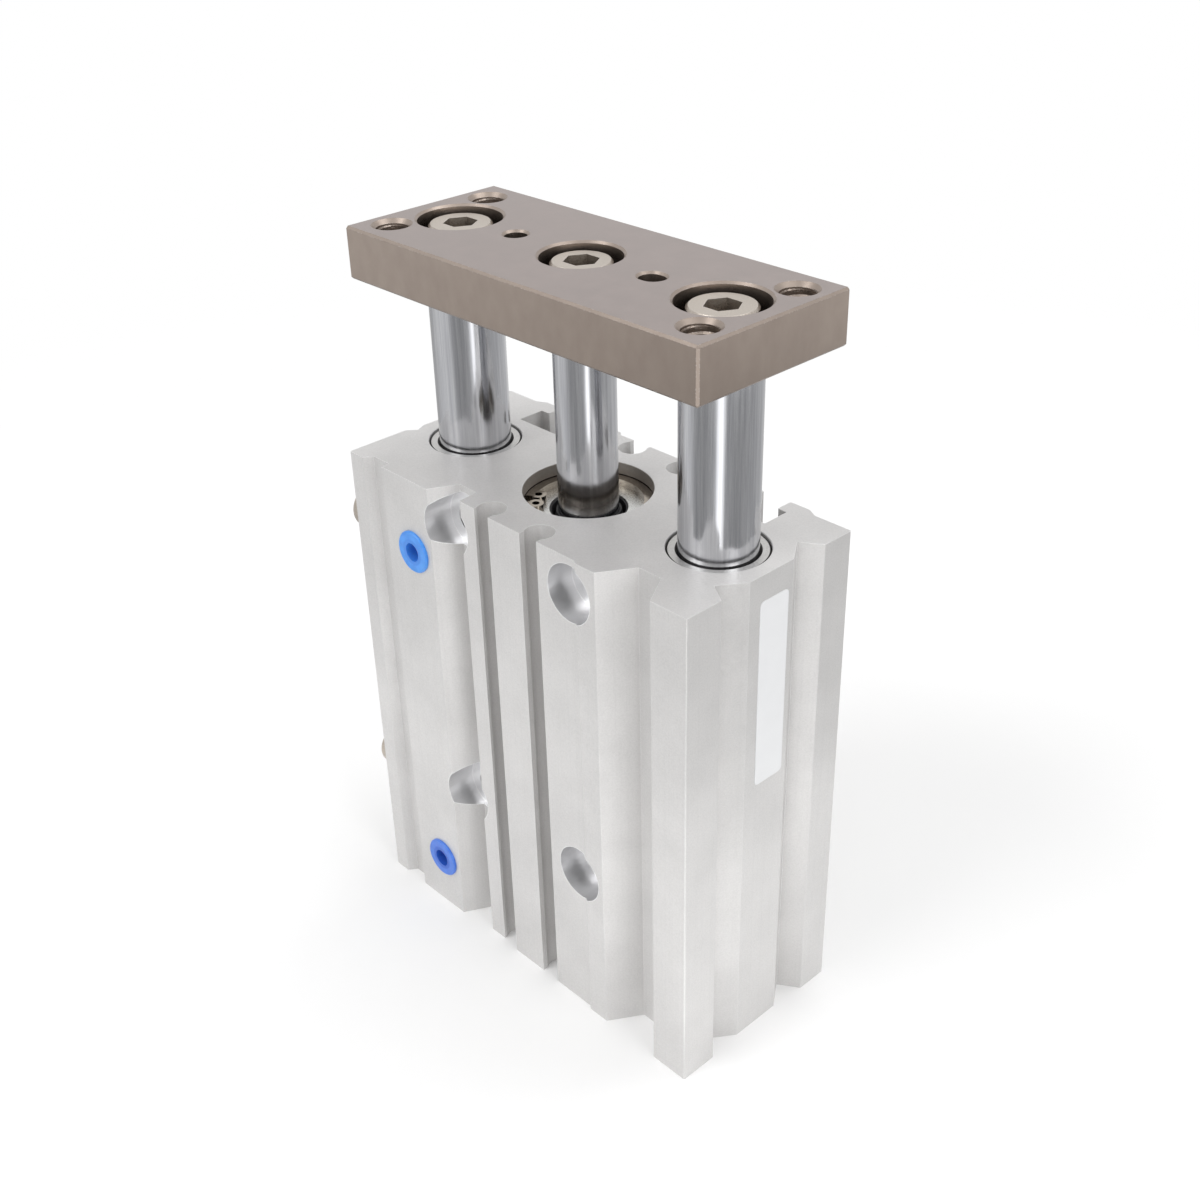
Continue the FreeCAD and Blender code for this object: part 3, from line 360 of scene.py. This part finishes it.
def blue_plastic():
    """Moulded transit plugs: the lower one deeper in colour, each with painted shade on a ring
    round its hole.
    """
    mat = Nodes("blue_plastic")
    cloud = mat.noise(0.8)
    cloudy = mat.span(cloud, 0.35, 0.65)
    lower = mat.span(mat.axis("Z"), UPPER_PORT, LOWER_PORT)
    colour = mat.mix(lower, mat.mix(cloudy, (0.06, 0.27, 0.77), (0.09, 0.33, 0.85)),
                     mat.mix(cloudy, (0.065, 0.185, 0.66), (0.09, 0.225, 0.74)))
    from_middle = mat.distance(mat.plus(mat.axis("X"), PORT_PLACE),
                               mat.from_heights(UPPER_PORT, LOWER_PORT))
    # Painted shade: a darker ring round each plug's hole and inside it, in place of the raised
    # hub's relief.
    hub_shade = mat.span(from_middle, PLUG_HUB_RADIUS + 0.1, PLUG_HUB_RADIUS - 0.1)
    colour = mat.mix(hub_shade, colour, mat.mix(lower, (0.06, 0.25, 0.75), (0.035, 0.13, 0.58)))
    return mat.surface(Base_Color=colour, Roughness=mat.span(cloud, 0.3, 0.7, 0.34, 0.44),
                       Subsurface_Weight=0.15, Subsurface_Scale=1.0 * MM,
                       Specular_IOR_Level=0.4, Normal=mat.bump(mat.noise(2.0), 0.01, 0.2))


def label_film():
    """Satin film with nothing printed on it."""
    mat = Nodes("label_film")
    cloud = mat.noise(0.25)
    colour = mat.mix(mat.span(cloud, 0.3, 0.7), (0.735, 0.74, 0.75), (0.755, 0.76, 0.77))
    return mat.surface(Base_Color=colour, Roughness=mat.span(cloud, 0.3, 0.7, 0.4, 0.46),
                       Specular_IOR_Level=0.4, Normal=mat.bump(mat.noise(1.5), 0.004, 0.2))


MATERIALS = {
    "aluminium_body": anodised_aluminium(),
    "aluminium_cover": machined_aluminium(),
    "plate_steel": nickel_plate(),
    "rod_steel": hard_chrome(),
    "screw_steel": matte_nickel(),
    "ring_steel": bright_nickel(),
    "bearing_bronze": bearing_bronze(),
    "plug_plastic": blue_plastic(),
    "label_film": label_film(),
    "rubber": dull("nitrile_rubber", (0.012, 0.012, 0.013), (0.03, 0.03, 0.032)),
    "urethane": dull("urethane", (0.2, 0.14, 0.06), (0.32, 0.24, 0.12)),
    "magnet": dull("ferrite", (0.03, 0.03, 0.035), (0.06, 0.06, 0.065)),
}
for subpart in frame["record"]["subparts"]:
    slots = nodes[subpart["node"]].data.materials
    slots.clear()
    slots.append(MATERIALS[subpart["material_slot"]])


# ---- pieces made here ----

def put(name, data):
    """Adds an object to the scene."""
    thing = bpy.data.objects.new(name, data)
    bpy.context.scene.collection.objects.link(thing)
    return thing


def add_piece(name, mesh, body, slot):
    """Adds a piece of the object that rides on a body and wears one of its material slots."""
    piece = put(name, mesh)
    mesh.materials.append(MATERIALS[slot])
    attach(piece, body)


def add_label():
    """Blank film with rounded corners on the bulge of the body's +X end, raised a little."""
    bulge, raised_by, bevel = 31.55, 0.09, 0.03
    low, high, corner = Vector((-2.0, 42.4)), Vector((3.15, 69.4)), 0.7
    centres = ((high.x - corner, high.y - corner), (low.x + corner, high.y - corner),
               (low.x + corner, low.y + corner), (high.x - corner, low.y + corner))
    shape = bmesh.new()
    rim = []
    for quarter, (y, z) in enumerate(centres):
        for step in range(7):
            angle = math.radians(90 * quarter + 15 * step)
            place = Vector((bulge, y + corner * math.cos(angle), z + corner * math.sin(angle)))
            rim.append(shape.verts.new(place * MM))
    face = shape.faces.new(rim)
    raised = bmesh.ops.extrude_face_region(shape, geom=[face])
    top = [item for item in raised["geom"] if isinstance(item, bmesh.types.BMVert)]
    bmesh.ops.translate(shape, verts=top, vec=(raised_by * MM, 0, 0))
    top_edges = [edge for edge in shape.edges if all(vert in top for vert in edge.verts)]
    bmesh.ops.bevel(shape, geom=top_edges, offset=bevel * MM, segments=2, affect="EDGES")
    bmesh.ops.recalc_face_normals(shape, faces=shape.faces)
    mesh = bpy.data.meshes.new("blank_label")
    shape.to_mesh(mesh)
    shape.free()
    add_piece("blank_label", mesh, "cylinder", "label_film")


def helix(mouth, axis, length):
    """Vertices and faces, in millimetres, of a thread's ridge that winds in from a hole's mouth."""
    along = Vector(axis)
    across = along.orthogonal().normalized()
    beside = along.cross(across)
    per_turn = 28
    foot, tip = 0.42 * THREAD_PITCH, 0.08 * THREAD_PITCH  # half widths of the ridge
    thinnest = 0.02  # share of the full height at both ends
    steps = int(length / THREAD_PITCH * per_turn)
    points, faces = [], []
    for step in range(steps + 1):
        angle = 2 * math.pi * step / per_turn
        radial = across * math.cos(angle) + beside * math.sin(angle)
        depth = THREAD_PITCH * step / per_turn
        grown = max(min(1.0, step / per_turn, (steps - step) / per_turn), thinnest)
        crest = THREAD_ROOT - (THREAD_ROOT - THREAD_CREST) * grown
        for radius, shift in ((THREAD_ROOT, -foot), (crest, -tip), (crest, tip),
                              (THREAD_ROOT, foot)):
            points.append(Vector(mouth) + radial * radius - along * (depth + shift))
        if step:
            base = 4 * step
            faces += [(base + k - 4, base + k - 3, base + k + 1, base + k) for k in range(3)]
            faces.append((base - 1, base - 4, base, base + 3))
    faces += [(3, 2, 1, 0), tuple(4 * steps + k for k in range(4))]
    return points, faces


def add_threads(name, mouths, axis, length, body, slot):
    """One piece with a thread in each hole of a group."""
    points, faces = [], []
    for mouth in mouths:
        more, sides = helix(mouth, axis, length)
        faces += [tuple(index + len(points) for index in side) for side in sides]
        points += more
    mesh = bpy.data.meshes.new(name)
    mesh.from_pydata([point * MM for point in points], [], faces)
    add_piece(name, mesh, body, slot)


def corners(x, y, z):
    return [(x, y, z), (-x, y, z), (-x, -y, z), (x, -y, z)]


body_low, body_high = (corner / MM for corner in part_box("body"))
plate_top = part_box("plate")[1].z / MM
back_holes = [(x, z) for x in (-BOLT_PLACE, BOLT_PLACE) for z in (LOWER_BOLTS, UPPER_BOLTS)]
body_run_in = 0.4    # from the holes' mouths to the first turn
plate_run_in = 0.75
add_label()
add_threads("plate_threads", corners(*PLATE_HOLES, plate_top - plate_run_in), (0, 0, 1), 5.5,
            "carriage", "plate_steel")
add_threads("base_threads", corners(*BASE_HOLES, body_low.z + body_run_in), (0, 0, -1), 10.5,
            "cylinder", "aluminium_body")
add_threads("back_threads", [(x, body_high.y - body_run_in, z) for x, z in back_holes],
            (0, 1, 0), 9.5, "cylinder", "aluminium_body")


# ---- camera ----

def add_camera():
    """Camera at the eye point and on the axes of the view, found from the object's edges."""
    right = Vector((0.68926, 0.72413, -0.02366))
    up = Vector((-0.35400, 0.36510, 0.86104))
    back = Vector((0.63214, -0.58510, 0.50799))
    eye = Vector((0.13296, -0.12154, 0.16220))
    camera = put("camera", bpy.data.cameras.new("camera"))
    turn = Matrix((right, up, back)).transposed().to_4x4()
    camera.matrix_world = Matrix.Translation(eye) @ turn
    camera.data.sensor_width = 36.0
    camera.data.lens = 46.17
    camera.data.clip_start = 0.01
    bpy.context.scene.camera = camera


# ---- floor, reflectors, background and lamps ----

def sheet(name, left, right, half):
    """Flat rectangle in its own X and Y."""
    mesh = bpy.data.meshes.new(name)
    mesh.from_pydata([(left, -half, 0), (right, -half, 0), (right, half, 0), (left, half, 0)],
                     [], [(0, 1, 2, 3)])
    return mesh


def only_reflect(thing):
    """Hides a stage piece from all rays but reflections."""
    for ray in ("camera", "diffuse", "shadow", "transmission", "volume_scatter"):
        setattr(thing, "visible_" + ray, False)


def add_floor():
    """White floor that fades into the white background away from the object."""
    reach = 1.2
    fade_start, fade_end = 0.09, 0.3
    floor = put("floor", sheet("floor", -reach, reach, reach))
    mat = Nodes("floor")
    mat.surface(Base_Color=mat.mix(mat.noise(0.02), (0.95, 0.95, 0.95), (0.97, 0.97, 0.97)),
                Roughness=0.9, Specular_IOR_Level=0.1)
    away = mat.add("ShaderNodeVectorMath", {0: mat.coordinates}, operation="LENGTH")
    fade = mat.add("ShaderNodeMixShader",
                   {"Fac": mat.span(away.outputs["Value"], fade_start, fade_end),
                    1: mat.shader.outputs["BSDF"],
                    2: mat.add("ShaderNodeBsdfTransparent").outputs["BSDF"]})
    floor.data.materials.append(mat.show(fade.outputs["Shader"]))


def add_reflector():
    """Round grey tent that gives the chrome its upright light and dark bands."""
    radius, low, high = 0.075, 0.015, 0.077
    brightest = 2.0
    # Bearing in degrees from +X, level of light.
    stops = ((-180, 0.5), (-150, 0.8), (-120, 0.8), (-100, 0.42), (-75, 0.36), (-54, 0.46),
             (-44, 0.62), (-39, 2.0), (-31, 2.0), (-25, 0.5), (-5, 0.38), (20, 0.3), (60, 0.34),
             (105, 0.5), (140, 0.8))
    mesh = bpy.data.meshes.new("reflector")
    shape = bmesh.new()
    bmesh.ops.create_cone(shape, cap_ends=False, segments=96, radius1=radius, radius2=radius,
                          depth=high - low)
    shape.to_mesh(mesh)
    shape.free()
    tent = put("reflector", mesh)
    tent.location = (0, 0, (low + high) / 2)
    only_reflect(tent)
    mat = Nodes("reflector")
    place = mat.add("ShaderNodeSeparateXYZ", {"Vector": mat.coordinates})
    bearing = mat.math("ARCTAN2", place.outputs["Y"], place.outputs["X"])
    around = mat.span(bearing, -math.pi, math.pi)
    ramp = mat.add("ShaderNodeValToRGB", {"Fac": around})
    colours = ramp.color_ramp.elements
    for index, (degree, level) in enumerate(stops):
        stop = colours[index] if index < 2 else colours.new(0.5)
        stop.position = (degree + 180) / 360
        stop.color = (level / brightest, level / brightest, level / brightest, 1)
    mesh.materials.append(mat.glow(ramp.outputs["Color"], brightest))


def add_card():
    """Bright card on the floor before the object's nearest corner."""
    card = put("card", sheet("card", 0.022, 0.075, 0.03))
    card.location = (0.01, -0.012, 0.0015)
    card.rotation_euler = (0, 0, math.radians(-45))
    only_reflect(card)
    card.data.materials.append(Nodes("card").glow((1.0, 1.0, 1.0), 1.7))


def add_world():
    """White background that lights the object less than it shows in the picture."""
    shown, lighting = 1.0, 0.62
    world = bpy.data.worlds.new("studio")
    bpy.context.scene.world = world
    world.use_nodes = True
    tree = world.node_tree
    rays = tree.nodes.new("ShaderNodeLightPath")
    seen = rays.outputs["Is Camera Ray"]
    for ray in ("Is Glossy Ray", "Is Transmission Ray"):
        either = tree.nodes.new("ShaderNodeMath")
        either.operation = "MAXIMUM"
        tree.links.new(seen, either.inputs[0])
        tree.links.new(rays.outputs[ray], either.inputs[1])
        seen = either.outputs["Value"]
    strength = tree.nodes.new("ShaderNodeMapRange")
    strength.inputs["To Min"].default_value = lighting
    strength.inputs["To Max"].default_value = shown
    tree.links.new(seen, strength.inputs["Value"])
    background = tree.nodes["Background"]
    tree.links.new(strength.outputs["Result"], background.inputs["Strength"])
    background.inputs["Color"].default_value = (1, 1, 1, 1)


def add_lamp(name, place, aim, size, watts):
    lamp = bpy.data.lights.new(name, "AREA")
    lamp.size = size
    lamp.energy = watts
    thing = put(name, lamp)
    thing.location = place
    thing.rotation_euler = (Vector(aim) - Vector(place)).to_track_quat("-Z", "Y").to_euler()


add_camera()
add_floor()
add_reflector()
add_card()
add_world()
middle = (0.0, 0.0, 0.05)
foot = (0.0, 0.0, 0.01)
add_lamp("low", (0.3, -0.32, 0.05), foot, 0.2, 0.15)
add_lamp("key", (-0.25, -0.75, 0.85), middle, 0.6, 4.4)
add_lamp("side", (0.95, -0.1, 0.45), middle, 0.5, 3.0)
add_lamp("top", (0.1, 0.35, 1.0), middle, 0.6, 2.9)

bpy.context.scene.view_settings.view_transform = "Standard"
